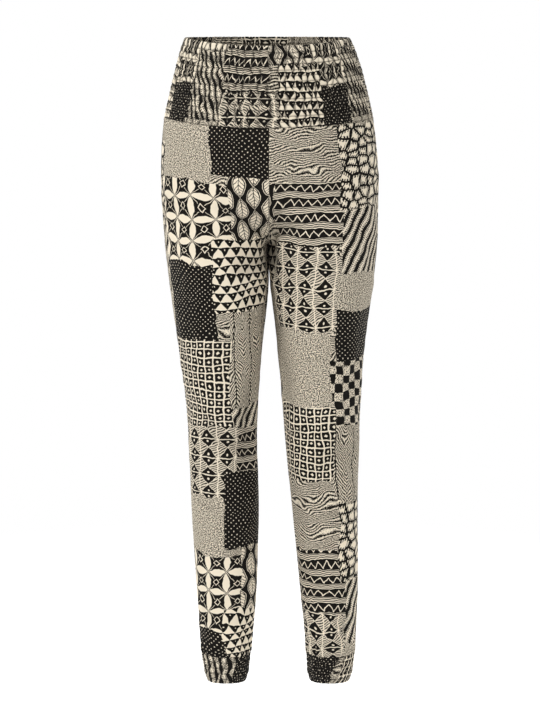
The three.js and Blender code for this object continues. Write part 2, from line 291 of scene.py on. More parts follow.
# ---------------------------------------------------------------- the garment's surface
def hip_point(side, face, turn, down):
    """A place on the hip ring: turn is 0 at the side seam and a quarter turn at the middle of the face."""
    gap = SEAM_GAP / 2
    seam = seam_at(down)
    x = gap + (side.outer(down) - gap) * power(np.cos(turn), 2 / face.round)
    y = gap + (face.depth(down) - face.sign * seam - gap) * power(np.sin(turn), 2 / face.round)
    return np.stack(np.broadcast_arrays(side.sign * x, seam + face.sign * y, -down), axis=-1)


def leg_point(side, face, turn, down):
    """A place on a leg's ring: turn is 0 at the side seam and a half turn at the inseam."""
    gap = SEAM_GAP / 2
    seam = seam_at(down)
    outer, inner = side.outer(down), side.inner(down)
    x = (outer + inner) / 2 + ((outer - inner) / 2) * power(np.cos(turn), 2 / LEG_ROUND)
    reach = face.depth(down) - face.sign * seam - gap
    y = gap + reach * power(np.maximum(np.sin(turn), 0), 2 / LEG_ROUND)
    return np.stack(np.broadcast_arrays(side.sign * x, seam + face.sign * y, -down), axis=-1)


def hip_turn(share):
    return (math.pi / 2) * (1 - (1 - share) ** HIP_SPREAD)


def dip_at(face, turn):
    return face.dip * np.sin(turn) ** 2


def bridge(share, down):
    """How far a place has turned from a leg's ring, 0, into the hip ring, 1."""
    near_rise = share**3
    t = np.clip((CROTCH - down) / lerp(HIP_EASE, RISE_CURVE, near_rise), 0, 1)
    return (1 - (1 - t) ** 2) ** lerp(SOFT_TURN, SHARP_TURN, near_rise)


def panel_point(side, face, share, down):
    turn = hip_turn(share)
    fade = np.clip(1 - (down - BAND.depth) / (CROTCH - BAND.depth), 0, 1)
    lowered = down + dip_at(face, turn) * fade
    hip = hip_point(side, face, turn, lowered)
    leg = leg_point(side, face, math.pi * share, lowered)
    return lerp(leg, hip, bridge(share, lowered)[..., None])


def creases_on(panel, side, share, down):
    """For each crease of a panel: how far along it every place lies, from 0 to 1, how many widths beside
    it, its depth, and its direction across and down."""
    breadth = ACROSS * (side.outer(down) - side.inner(down))
    for from_share, from_down, to_share, to_down, width, depth in CREASES[panel]:
        along_x, along_y = (to_share - from_share) * breadth, to_down - from_down
        place_x, place_y = (share - from_share) * breadth, down - from_down
        length = np.hypot(along_x, along_y)
        t = np.clip((place_x * along_x + place_y * along_y) / length**2, 0, 1)
        off = (place_x * along_y - place_y * along_x) / length / width
        yield t, off, depth, (along_x / length, along_y / length)


def crease_depth(panel, side, share, down):
    """Soft troughs across a panel, each with a low ridge beside it, fading out at both its ends."""
    total = np.zeros_like(down)
    for t, off, depth, _ in creases_on(panel, side, share, down):
        trough = np.exp(-(off**2)) - RIDGE_HEIGHT * np.exp(-((off - RIDGE_PLACE) ** 2))
        total -= depth * np.sin(math.pi * t) * trough
    return total


def taken_up(panel, side, share, down):
    """How far the print has moved across and down, because each crease takes up some of the cloth."""
    moved_x, moved_y = np.zeros_like(down), np.zeros_like(down)
    for t, off, depth, (across, along) in creases_on(panel, side, share, down):
        near = np.tanh(off) * np.exp(-np.abs(off) / TAKEN_FROM)
        amount = CLOTH_TAKEN * depth * np.sin(math.pi * t) ** 2 * near
        moved_x += amount * along
        moved_y -= amount * across
    return moved_x, moved_y


def in_cleft(point, down):
    """How deep a place lies in the cleft between the thighs, just under the crotch: 1 at its middle."""
    (top, whole), (ending, end) = CLEFT_START, CLEFT_END
    depth = ease((down - top) / (whole - top)) * (1 - ease((down - ending) / (end - ending)))
    return depth * np.exp(-np.abs(point[..., 0]) / CLEFT_BREADTH)


def cleft_lean(point, down):
    """How far the narrow gap between the thighs bends sideways, so that no light comes through it."""
    back = (point[..., 1] - seam_at(down)) / CLEFT_DEPTH
    return CLEFT_LEAN * back * np.exp(-(back**2)) * in_cleft(point, down)


def kept_to_side(side, grid, down):
    """The same grid, held on its own side of the middle where the right and left panels press together."""
    middle = cleft_lean(grid * [0, 1, 1], down)
    level = np.maximum(side.sign * (grid[..., 0] - middle), MIDDLE_CLEAR)
    return np.stack([middle + side.sign * level, grid[..., 1], grid[..., 2]], axis=-1)


def creased_point(panel, side, face, share, down):
    """The panel's surface with its creases, pushed level and away from the leg's middle."""
    point = panel_point(side, face, share, down)
    point[..., 0] += cleft_lean(point, down)
    centre = side.sign * (side.outer(down) + side.inner(down)) / 2
    outwards = unit(np.stack([point[..., 0] - centre, point[..., 1] - seam_at(down), 0 * down], axis=-1))
    edge = np.clip(np.minimum(share, 1 - share) / SMOOTH_EDGE, 0, 1)
    depth = crease_depth(panel, side, share, down)
    return point + outwards * (edge * depth)[..., None]


def outward_of(grid, sign):
    """Unit directions square to a grid of points. sign is 1 where its columns and rows turn outwards."""
    across = np.gradient(grid, axis=1)
    along = np.gradient(grid, axis=0)
    return sign * unit(np.cross(across, along))


def arc(grid, axis):
    """Distances along the rows or columns of a grid, from its first point."""
    steps = np.linalg.norm(np.diff(grid, axis=axis), axis=-1)
    start = np.zeros_like(np.take(steps, [0], axis=axis))
    return np.concatenate([start, np.cumsum(steps, axis=axis)], axis=axis)


# ---------------------------------------------------------------- cloth walls
def corners(grid):
    """The four corners of each face of a grid, in turn."""
    around = [grid[:-1, :-1], grid[1:, :-1], grid[1:, 1:], grid[:-1, 1:]]
    return np.stack(around, axis=2).reshape(-1, 4, *grid.shape[2:])


# The bake's map is a square of side 1. It keeps a margin all round, and skins and the strips that close
# their edges lie in it one above another.
MAP_LOW = 0.004
MAP_HIGH = 0.996
OUTER_MAP = (0.004, 0.616)
INNER_MAP = (0.628, 0.968)
FIRST_STRIP = 0.974
STRIP_STEP = 0.006
STRIP_WIDTH = 0.004


def chart(rows, columns, low, high):
    """A part of the bake's map as wide as the map: the rows run along it and the columns up it."""
    along = np.linspace(MAP_LOW, MAP_HIGH, rows)
    up = np.linspace(low, high, columns)
    return np.stack(np.meshgrid(along, up, indexing="ij"), axis=-1)


def strip(length, number):
    """One of the narrow strips of the bake's map, for two lines of points with faces between them."""
    low = FIRST_STRIP + STRIP_STEP * number
    return chart(length, 2, low, low + STRIP_WIDTH).swapaxes(0, 1)


class CutPiece:
    """The mesh of one cut piece of cloth, with its place on the printed cloth."""

    def __init__(self):
        self.points, self.wrong_side, self.shade = [], [], []
        self.faces, self.cloth, self.bake = [], [], []
        self.count = 0

    def add(self, grid, wrong_side, shade):
        """Adds a grid of points and returns their numbers."""
        rows, columns = grid.shape[:2]
        numbers = self.count + np.arange(rows * columns).reshape(rows, columns)
        self.count += rows * columns
        self.points.append(grid.reshape(-1, 3))
        self.wrong_side.append(np.broadcast_to(wrong_side, (rows, columns)).ravel())
        self.shade.append(np.broadcast_to(shade, (rows, columns)).ravel())
        return numbers

    def skin(self, numbers, cloth, bake, turned):
        """Adds faces over a grid of point numbers. turned is True where they would face inwards."""
        around = slice(None, None, -1) if turned else slice(None)
        self.faces.append(corners(numbers)[:, around])
        self.cloth.append(corners(cloth)[:, around])
        self.bake.append(corners(bake)[:, around])

    def finish(self, name, material):
        mesh = bpy.data.meshes.new(name)
        points = np.concatenate(self.points) * MM
        mesh.from_pydata(points.tolist(), [], np.concatenate(self.faces).tolist())
        for layer, places in (("Cloth", self.cloth), ("OFBake", self.bake)):
            uv = mesh.uv_layers.new(name=layer)
            uv.data.foreach_set("uv", np.concatenate(places).astype(np.float32).ravel())
        # shade holds painted shade, which the material uses to darken the print's cream.
        for layer, values in (("wrong_side", self.wrong_side), ("shade", self.shade)):
            attribute = mesh.attributes.new(layer, "FLOAT", "POINT")
            attribute.data.foreach_set("value", np.concatenate(values).astype(np.float32))
        mesh.shade_smooth()
        mesh.materials.append(material)
        mesh.validate()
        piece = bpy.data.objects.new(name, mesh)
        bpy.context.scene.collection.objects.link(piece)
        return piece


# ---------------------------------------------------------------- leg panels
# Where each panel was cut from the printed cloth: across and down, in millimetres.
CUT_FROM = {
    "front_right": (95, 0),
    "front_left": (305, 34),
    "back_right": (20, 210),
    "back_left": (240, 330),
}
PANEL_TOP = BAND.depth + SEAM_GAP
PANEL_BOTTOM = CUFF_TOP - SEAM_GAP
# Gentle waves over a panel: their height, their shortest and longest lengths, how many there are, how
# much they stretch downwards, and how far from a seam they reach their whole height.
BROAD_WAVES = SimpleNamespace(height=1.5, lengths=(50, 120), count=7, stretch=0.7, from_seam=30)
SMALL_WAVES = SimpleNamespace(height=0.4, lengths=(17, 40), count=9, stretch=0.8, from_seam=14)
CALM_ENDS = 30.0
# Puckers along a seam, and small folds let out of the gathers above and below.
PUCKERS = SimpleNamespace(height=0.3, pitch=9.3, wander=1.5, lengths=(40, 90), reach=6, from_seam=1.5)
WAIST_TUCKS = SimpleNamespace(count=21, height=1.1, reach=16, from_seam=6)
CUFF_TUCKS = SimpleNamespace(count=14, height=2.4, reach=36, from_seam=5)
MOST_TUCKS = 64
TUCK_HEIGHTS = (0.35, 1.25)
TUCK_REACHES = (0.45, 1.9)
# How the print bends over the cloth, across and down, and more so towards the ankle.
BEND_LENGTHS = (38, 110)
BEND_ACROSS = 1.7
BEND_DOWN = 2.0
ANKLE_BEND = 1.2
ANKLE_FROM = 860.0
ANKLE_TO = 950.0


def panel_rows():
    """Distances down of a panel's rows, close together where the rise turns under the body."""
    curve_top = CROTCH - RISE_CURVE
    hips = np.linspace(PANEL_TOP, curve_top, round((curve_top - PANEL_TOP) / ROW_STEP) + 1)
    turn = np.linspace(math.pi / 2, 0, CURVE_ROWS + 1)[1:]
    curve = CROTCH - RISE_CURVE * (1 - np.cos(turn))
    legs = np.linspace(CROTCH, PANEL_BOTTOM, round((PANEL_BOTTOM - CROTCH) / ROW_STEP) + 1)[1:]
    return np.concatenate([hips, curve, legs])


def panel_shares():
    """Shares of the way across a panel, crowded towards its seams."""
    t = np.linspace(0, 1, PANEL_COLUMNS)
    return t - COLUMN_CROWDING * np.sin(2 * math.pi * t) / (2 * math.pi)


def tucks(kind, step, away, edge, seed):
    """Small folds let out of a gathered seam, each of its own height and length."""
    rng = np.random.default_rng(seed)
    number = np.clip(np.floor(step).astype(int), 0, MOST_TUCKS - 1)
    heights = kind.height * rng.uniform(*TUCK_HEIGHTS, MOST_TUCKS)[number]
    reaches = kind.reach * rng.uniform(*TUCK_REACHES, MOST_TUCKS)[number]
    folds = heights * np.sin(math.pi * (step % 1)) ** 2 * np.exp(-np.maximum(away, 0) / reaches)
    return folds * ease(edge / kind.from_seam)


def panel_waves(kind, seed, across, down, edge):
    """Waves over a panel, dying away towards its seams and its ends."""
    height = kind.height * waves(seed, *kind.lengths, kind.count)(across, kind.stretch * down)
    from_ends = ease((down - PANEL_TOP) / CALM_ENDS) * ease((PANEL_BOTTOM - down) / CALM_ENDS)
    return height * ease(edge / kind.from_seam) * from_ends


def puckers(seed, down, edge):
    """The small waves that stitching draws along a seam."""
    phase = PUCKERS.wander * waves(seed, *PUCKERS.lengths)(0 * edge, down)
    height = PUCKERS.height * np.sin(2 * math.pi * down / PUCKERS.pitch + phase)
    return height * np.exp(-edge / PUCKERS.reach) * ease(edge / PUCKERS.from_seam)


def panel_relief(seed, share, down, across):
    """How far the cloth stands out of a panel's creased surface."""
    edge = np.minimum(across, across[:, -1:] - across)
    waist_step = WAIST_TUCKS.count * hip_turn(share) / (math.pi / 2)
    return (
        panel_waves(BROAD_WAVES, seed + 1, across, down, edge)
        + panel_waves(SMALL_WAVES, seed + 2, across, down, edge)
        - SEAM_DIP * np.exp(-((edge / SEAM_ROUND) ** 2))
        + puckers(seed + 3, down, edge)
        + tucks(WAIST_TUCKS, waist_step, down - PANEL_TOP, edge, seed + 4)
        + tucks(CUFF_TUCKS, CUFF_TUCKS.count * share, PANEL_BOTTOM - down, edge, seed + 5)
    )


def with_laps(cloth, smooth, outward, down):
    """A panel's grid with the laps that turn in behind the waistband and the cuff, and the distance down
    of each of its rows."""
    inwards = -unit(outward[[0, -1]] * [1, 1, 0])
    up = np.array([0, 0, 1.0])
    band_lap = BAND_LAP[::-1]
    lifted = [smooth[0] + inwards[0] * depth + up * lift for depth, lift in band_lap]
    dropped = [smooth[-1] + inwards[1] * depth - up * drop for depth, drop in CUFF_LAP]
    heights = np.concatenate([
        down[0, 0] - np.array([lift for _, lift in band_lap]),
        down[:, 0],
        down[-1, 0] + np.array([drop for _, drop in CUFF_LAP]),
    ])
    return np.concatenate([lifted, cloth, dropped]), heights


def place_on_print(panel, turned, outer, heights, moved, seed):
    """Where each point of a panel lies on the printed cloth. moved is how far its creases shift it."""
    span = arc(outer, axis=1)
    centre = (span.shape[1] - 1) // 2
    across = turned * (span - span[:, centre:centre + 1]) + turned * moved[0]
    down = heights[:, None] + moved[1]
    bend = 1.0 + ANKLE_BEND * ease((down - ANKLE_FROM) / (ANKLE_TO - ANKLE_FROM))
    bent_across = BEND_ACROSS * bend * waves(seed + 6, *BEND_LENGTHS)(across, down)
    bent_down = BEND_DOWN * bend * waves(seed + 7, *BEND_LENGTHS)(across, down)
    start = CUT_FROM[panel]
    return np.stack([across + bent_across + start[0], down + bent_down + start[1]], axis=-1) * MM


def allowances(side, face, edge, down, at_side):
    """Lines of points down a seam allowance: it turns into the garment and leans on its neighbour."""
    level = np.zeros_like(edge)
    level[:, 0] = -side.sign if at_side else side.sign
    inwards, over = level, np.array([0, -face.sign, 0])
    if not at_side:
        tangent = np.gradient(edge, axis=0)
        turned = np.stack([0 * down, face.sign * tangent[:, 2], -face.sign * tangent[:, 1]], axis=-1)
        below = ease((down - INSEAM_FROM) / INSEAM_TURN)[:, None]
        inwards = unit(lerp(unit(turned), level, below))
        over = lerp(np.array([-side.sign, 0, 0]), over, below)
    return [edge + inwards * depth + over * shift for depth, shift in ALLOWANCE]


def leg_panel(side_name, face_name, material):
    side, face = SIDES[side_name], FACES[face_name]
    panel = face_name + "_" + side_name
    sign = -side.sign * face.sign
    seed = 10 * list(SIDES).index(side_name) + list(FACES).index(face_name)
    share, down = np.meshgrid(panel_shares(), panel_rows())
    smooth = creased_point(panel, side, face, share, down)
    outward = outward_of(smooth, sign)
    relief = panel_relief(seed, share, down, arc(smooth, axis=1))
    cloth, heights = with_laps(smooth + outward * relief[..., None], smooth, outward, down)
    before = allowances(side, face, cloth[:, 0], heights, True)[::-1]
    after = allowances(side, face, cloth[:, -1], heights, False)
    outer = np.concatenate([np.stack(before, axis=1), cloth, np.stack(after, axis=1)], axis=1)
    outer = kept_to_side(side, outer, heights[:, None])
    inner = kept_to_side(side, outer - outward_of(outer, sign) * CLOTH, heights[:, None])

    margin = ((len(BAND_LAP), len(CUFF_LAP)), (len(ALLOWANCE), len(ALLOWANCE)))
    moved = [np.pad(shift, margin, "edge") for shift in taken_up(panel, side, share, down)]
    printed = place_on_print(panel, -sign, outer, heights, moved, seed)
    # Painted shade: the print's cream is darkened in the crease troughs and in the cleft between the thighs.
    troughs = np.clip(-crease_depth(panel, side, share, down) / SHADED_DEPTH, 0, 1)
    shade = TROUGH_SHADE * troughs + CLEFT_SHADE * in_cleft(smooth, down)
    rows, columns = outer.shape[:2]
    piece = CutPiece()
    front = piece.add(outer, 0, np.pad(shade, margin, "edge"))
    back = piece.add(inner, 1, 0)
    piece.skin(front, printed, chart(rows, columns, *OUTER_MAP), sign > 0)
    piece.skin(back, printed, chart(rows, columns, *INNER_MAP), sign < 0)
    close_edges(piece, front, back, printed, sign > 0)
    return piece.finish("printed_leg_" + panel, material)


def close_edges(piece, front, back, printed, turned):
    """Closes two skins along their four edges."""
    edges = [
        (front[0], back[0], printed[0], not turned),
        (front[-1], back[-1], printed[-1], turned),
        (front[:, 0], back[:, 0], printed[:, 0], turned),
        (front[:, -1], back[:, -1], printed[:, -1], not turned),
    ]
    for number, (first, second, cloth, flip) in enumerate(edges):
        piece.skin(np.stack([first, second]), np.stack([cloth, cloth]), strip(len(first), number), flip)


# ---------------------------------------------------------------- shirring
# How far valleys wander and puffs lean, how high puffs are, and how far a valley may be filled.
WANDER = 0.33
LEAN = 0.3
PUFF_HEIGHTS = (0.6, 1.15)
FILLED = 0.65
# The shape of a puff: how full it is across and down, how much of it is left under a thread, and how
# it flares in the loose header. Then the groove of a thread, and the painted shade in valleys and grooves:
# its width and how dark it is.
FULL_ACROSS = 0.62
FULL_DOWN = 0.7
PINCHED = 0.42
FLARE_LOW = 0.2
FLARE_HIGH = 0.65
FLARE_REACH = 1.15
EDGE_LIFT = 0.5
THREAD_GROOVE = 0.75
THREAD_WIDTH = 0.75
VALLEY_WIDTH = 0.13
VALLEY_FILL = 1.8
UNDER_THREAD = 0.7
# How points crowd towards the threads and into the valleys, and how much print the valleys hide.
ROW_CROWDING = 0.6
STEP_CROWDING = 0.45
HIDDEN_IN_VALLEYS = 0.45
# The wall folded over at its loose edge: points round the fold, and how soon and how much the relief
# calms inside. The print turns pale inside, and wavers a little.
FOLD_POINTS = 6
CALM_INSIDE = 0.5
CALM_AFTER = 12.0
PALE_INSIDE = 0.45
PALE_AFTER = 3.0
PRINT_WAVER = 1.3
WAVER_LENGTHS = (3, 11)
WAVER_STRETCH = 9.0
OUTSIDE_MAP = 0.62
INSIDE_MAP = 0.97


def between(table, row, step):
    """A table's value between its rows and columns."""
    rows, steps = table.shape
    row = np.clip(row, 0, rows - 1.001)
    step = np.clip(step, 0, steps - 1.001)
    r, s = np.floor(row).astype(int), np.floor(step).astype(int)
    p, q = row - r, step - s
    top = lerp(table[r, s], table[r, s + 1], q)
    bottom = lerp(table[r + 1, s], table[r + 1, s + 1], q)
    return lerp(top, bottom, p)


class Shirring:
    """The relief of cloth gathered on rows of elastic thread. Puffs lie between the threads, and the
    valleys between them wander, and some fade out. Distances down are from the loose edge."""

    def __init__(self, sizes, seed, slant=0, closed=False):
        rng = np.random.default_rng(seed)
        self.gathers, self.threads = sizes.gathers, sizes.threads
        self.header, self.puff, self.slant = sizes.header, sizes.puff, slant
        self.pitch = (sizes.depth - sizes.header) / sizes.threads
        size = (self.threads + 2, self.gathers + 1)
        self.wander = rng.uniform(-WANDER, WANDER, size)
        self.high = rng.uniform(*PUFF_HEIGHTS, size)
        self.low = FILLED * rng.uniform(0, 1, size) ** 3
        self.lean = rng.uniform(-LEAN, LEAN, size)
        for table in (self.wander, self.low):
            if closed:
                table[:, -1] = table[:, 0]
            else:
                table[:, [0, -1]] = 0

    def place(self, step, down):
        """Where a gather has slanted and wandered to, counted in gathers."""
        row = (down - self.header) / self.pitch
        return step + self.slant * row + between(self.wander, row + 1, step)

    def puffs(self, row, step):
        """The height of the puffs of one row, from 0 in a valley to about 1."""
        gather = np.clip(np.floor(step).astype(int), 0, self.gathers - 1)
        t = np.clip(step - gather, 0, 1)
        floor = lerp(self.low[row, gather], self.low[row, gather + 1], t)
        leaning = np.clip(t + self.lean[row, gather] * t * (1 - t), 0, 1)
        return floor + (self.high[row, gather] - floor) * np.sin(math.pi * leaning) ** FULL_ACROSS

    def at(self, step, down):
        """How far the cloth stands out."""
        row = (down - self.header) / self.pitch
        nearest = np.clip(np.round(row).astype(int), 0, self.threads)
        cell = np.clip(np.floor(row).astype(int) + 1, 0, self.threads)
        swell = np.sin(math.pi * np.clip(row % 1, 0, 1)) ** FULL_DOWN
        pinched = PINCHED * self.puffs(nearest, step)
        body = lerp(pinched, self.puffs(cell, step), swell)
        thread = THREAD_GROOVE * np.exp(-(((row - nearest) * self.pitch / THREAD_WIDTH) ** 2))
        loose = ease(np.clip(1 - down / self.header, 0, 1) * FLARE_REACH)
        flared = FLARE_LOW + FLARE_HIGH * self.puffs(cell, step)
        header = lerp(pinched, flared, loose)
        return self.puff * np.where(row < 0, header, body) - thread * (1 - loose)

    def shade(self, step, down):
        """How much painted shade a place gets, deep in a valley or under a thread, where it is hidden from
        the light.
        """
        row = (down - self.header) / self.pitch
        cell = np.clip(np.floor(row).astype(int) + 1, 0, self.threads)
        nearest = np.clip(np.round(step).astype(int), 0, self.gathers)
        open_share = np.clip(1 - VALLEY_FILL * self.low[cell, nearest], 0, 1)
        valley = open_share * np.exp(-(((step - nearest) / VALLEY_WIDTH) ** 2))
        under = np.exp(-(((row - np.round(row)) * self.pitch / THREAD_WIDTH) ** 2)) * (row > -0.5)
        return np.clip(valley + UNDER_THREAD * under, 0, 1)

    def lift(self, step):
        """How far the loose edge stands up between two gathers."""
        return EDGE_LIFT * self.puffs(np.zeros(step.shape, int), step)


def crowded(distances, header, pitch):
    """Moves distances from the loose edge closer to the threads."""
    shift = np.sin(2 * math.pi * (distances - header) / pitch) * pitch / (2 * math.pi)
    return distances - ROW_CROWDING * shift * ease(distances / header)


def folded_wall(shirring, sizes):
    """The places of a wall folded over at its loose edge, up its outside and down its inside: gathers
    round it, distances from the loose edge and from the outer face, and how calm the relief is."""
    radius = sizes.wall / 2
    outside = crowded(np.linspace(sizes.depth, radius, sizes.rows), shirring.header, shirring.pitch)
    turn = np.linspace(0, math.pi, FOLD_POINTS + 2)[1:-1]
    down = np.concatenate([outside, radius * (1 - np.sin(turn)), outside[::-1]])
    across = np.concatenate(
        [np.zeros(sizes.rows), radius * (1 - np.cos(turn)), np.full(sizes.rows, sizes.wall)]
    )
    inside = lerp(1, CALM_INSIDE, ease(outside[::-1] / CALM_AFTER))
    calm = np.concatenate([np.ones(sizes.rows + FOLD_POINTS), inside])
    t = np.linspace(0, sizes.gathers, sizes.columns * sizes.gathers + 1)
    steps = t - STEP_CROWDING * np.sin(2 * math.pi * t) / (2 * math.pi)
    step, below = np.meshgrid(steps, down)
    return step, below, across[:, None], calm[:, None]


def shirred_piece(name, grid, step, below, shirring, sizes, start, turned, material, ends):
    """Makes the mesh of a folded wall, with its gathered cloth's place on the print. turned is True where
    the gathers run the other way round, and ends where the wall isn't a whole ring."""
    rows, columns = grid.shape[:2]
    rim = rows // 2 - 1
    row = np.arange(rows)
    loose_edge = np.linalg.norm(np.diff(grid[0], axis=0), axis=-1).sum()
    pitch = loose_edge / sizes.gathers * sizes.fullness
    along = pitch * (step + HIDDEN_IN_VALLEYS * np.sin(2 * math.pi * step) / (2 * math.pi))
    up = below + PRINT_WAVER * waves(sizes.gathers, *WAVER_LENGTHS)(step, below / WAVER_STRETCH)
    side = -1 if turned else 1
    printed = np.stack([side * along + start[0], up + start[1]], axis=-1) * MM
    piece = CutPiece()
    pale = PALE_INSIDE * (row > rim)[:, None] * ease((below - sizes.header) / PALE_AFTER)
    # The shirring's painted shade, darker in its valleys and under its threads.
    numbers = piece.add(grid, pale, shirring.shade(step, below))
    if not ends:
        numbers = np.concatenate([numbers[:, :-1], numbers[:, :1]], axis=1)
    outside = row / rim * OUTSIDE_MAP
    inside = OUTSIDE_MAP + (row - rim) / (rows - 1 - rim) * (INSIDE_MAP - OUTSIDE_MAP)
    bake_up = np.where(row <= rim, outside, inside)
    bake = np.stack(np.meshgrid(np.linspace(MAP_LOW, MAP_HIGH, columns), bake_up), axis=-1)
    piece.skin(numbers, printed, bake, turned)

    def close(first, second, first_print, second_print, number, flip):
        pair = np.stack([first, second])
        piece.skin(pair, np.stack([first_print, second_print]), strip(len(first), number), flip)

    close(numbers[-1], numbers[0], printed[-1], printed[0], 0, turned)
    if ends:
        half = rows // 2
        for number, at, flip in ((1, 0, turned), (2, -1, not turned)):
            folded, folded_print = numbers[::-1][:half, at], printed[::-1][:half, at]
            close(numbers[:half, at], folded, printed[:half, at], folded_print, number, flip)
    return piece.finish(name, material)


# ---------------------------------------------------------------- waistband
BAND_CUT_FROM = {"front": (250, 272), "back": (260, 60)}
BAND_SEED = 40
# How flat the puffs are at the side seams and over how many gathers, how far from its ends the band's
# outward direction is measured and over what turn, and how near the side seam a half may come.
CALM_AT_SEAMS = 0.32
CALM_GATHERS = 6.0
END_TURN = 0.02
SMALL_TURN = 0.01
SEAM_CLEAR = 0.02


def band_ring(face, turn, down):
    """A place round half of the band: turn is 0 at the left side seam and a half turn at the right one."""
    quarter, lowered = np.minimum(turn, math.pi - turn), down + dip_at(face, turn)
    left = hip_point(SIDES["left"], face, quarter, lowered)
    right = hip_point(SIDES["right"], face, quarter, lowered)
    return np.where((turn < math.pi / 2)[..., None], left, right)


def level_outwards(before, after):
    """Level unit directions square to a ring, from a point before and one after each place on it."""
    tangent = after - before
    return unit(np.stack([tangent[..., 1], -tangent[..., 0], 0 * tangent[..., 2]], axis=-1))


def band_place(face, step, down, out):
    """A place on the waistband. step counts gathers from the left side seam, and out is outwards."""
    turn = math.pi * step / BAND.gathers
    ring_down = np.clip(down, 0, BAND.depth)
    off_ends = np.clip(turn, END_TURN, math.pi - END_TURN)
    level = face.sign * level_outwards(
        band_ring(face, off_ends - SMALL_TURN, ring_down), band_ring(face, off_ends + SMALL_TURN, ring_down)
    )
    point = band_ring(face, turn, ring_down) + level * out[..., None]
    point[..., 2] = -(down + dip_at(face, turn))
    seam = seam_at(ring_down)
    point[..., 1] = seam + face.sign * np.maximum(face.sign * (point[..., 1] - seam), SEAM_CLEAR)
    return point


def band_relief(shirring, step, down):
    """The band's puffs, flatter beside the side seams."""
    from_seam = np.minimum(step, BAND.gathers - step)
    return shirring.at(step, down) * lerp(CALM_AT_SEAMS, 1, ease(from_seam / CALM_GATHERS))


def waistband(face_name, material):
    face = FACES[face_name]
    shirring = Shirring(BAND, BAND_SEED + face.sign)
    step, below, across, calm = folded_wall(shirring, BAND)
    relief = band_relief(shirring, step, below) * calm
    loose = np.clip(1 - below / BAND.header, 0, 1)
    roll = BAND.roll * loose**2
    rise = shirring.lift(step) * loose
    grid = band_place(face, shirring.place(step, below), below - rise, relief - across - roll)
    piece = shirred_piece(
        "waistband_" + face_name + "_shirred", grid, step, below, shirring, BAND,
        BAND_CUT_FROM[face_name], face.sign > 0, material, ends=True,
    )
    return piece, shirring


# ---------------------------------------------------------------- cuffs
CUFF_CUT_FROM = {"right": (330, 338), "left": (285, 76)}
CUFF_SEED = 60
ROLL_REACH = 1.7


def cuff_ring(side, turn, down):
    """A place round a leg's end: turn is 0 at the side seam and grows round the front first."""
    half = np.arccos(np.clip(np.cos(turn), -1, 1))
    front = leg_point(side, FACES["front"], half, down)
    back = leg_point(side, FACES["back"], half, down)
    return np.where((np.sin(turn) >= 0)[..., None], front, back)


def cuff_place(side, step, up, out):
    """A place on a cuff. up is from the hem, and out is outwards."""
    turn = 2 * math.pi * step / CUFF.gathers
    down = HEM - np.clip(up, 0, CUFF.depth)
    level = -side.sign * level_outwards(
        cuff_ring(side, turn - SMALL_TURN, down), cuff_ring(side, turn + SMALL_TURN, down)
    )
    point = cuff_ring(side, turn, down) + level * out[..., None]
    hanging = np.clip(1 - up / CUFF.depth, 0, 1) ** 2
    drop = HEM_DROP * np.cos(turn) ** 2 + HEM_FULL
    point[..., 2] = -(HEM - up) - drop * hanging
    return point


def cuff(side_name, material):
    side = SIDES[side_name]
    shirring = Shirring(CUFF, CUFF_SEED + side.sign, -CUFF_SLANT * side.sign, closed=True)
    step, above, across, calm = folded_wall(shirring, CUFF)
    relief = shirring.at(step, above) * calm
    roll = CUFF.roll * np.clip(1 - above / (ROLL_REACH * CUFF.header), 0, 1) ** 2
    grid = cuff_place(side, shirring.place(step, above), above, relief - across - roll)
    grid[:, -1] = grid[:, 0]
    piece = shirred_piece(
        "cuff_" + side_name + "_shirred", grid, step, above, shirring, CUFF,
        CUFF_CUT_FROM[side_name], side.sign > 0, material, ends=False,
    )
    return piece, shirring


# ---------------------------------------------------------------- material nodes
class Value:
    """A number that varies over a surface. Arithmetic on it adds Math nodes."""

    def __init__(self, finish, socket):
        self.finish, self.socket = finish, socket

    def math(self, operation, *others):
        return self.finish.math(operation, self, *others)

    def __add__(self, other):
        return self.finish.math("ADD", self, other)

    def __sub__(self, other):
        return self.finish.math("SUBTRACT", self, other)

    def __rsub__(self, other):
        return self.finish.math("SUBTRACT", other, self)

    def __mul__(self, other):
        return self.finish.math("MULTIPLY", self, other)

    def __truediv__(self, other):
        return self.finish.math("DIVIDE", self, other)

    def __abs__(self):
        return self.finish.math("ABSOLUTE", self)

    __radd__ = __add__
    __rmul__ = __mul__


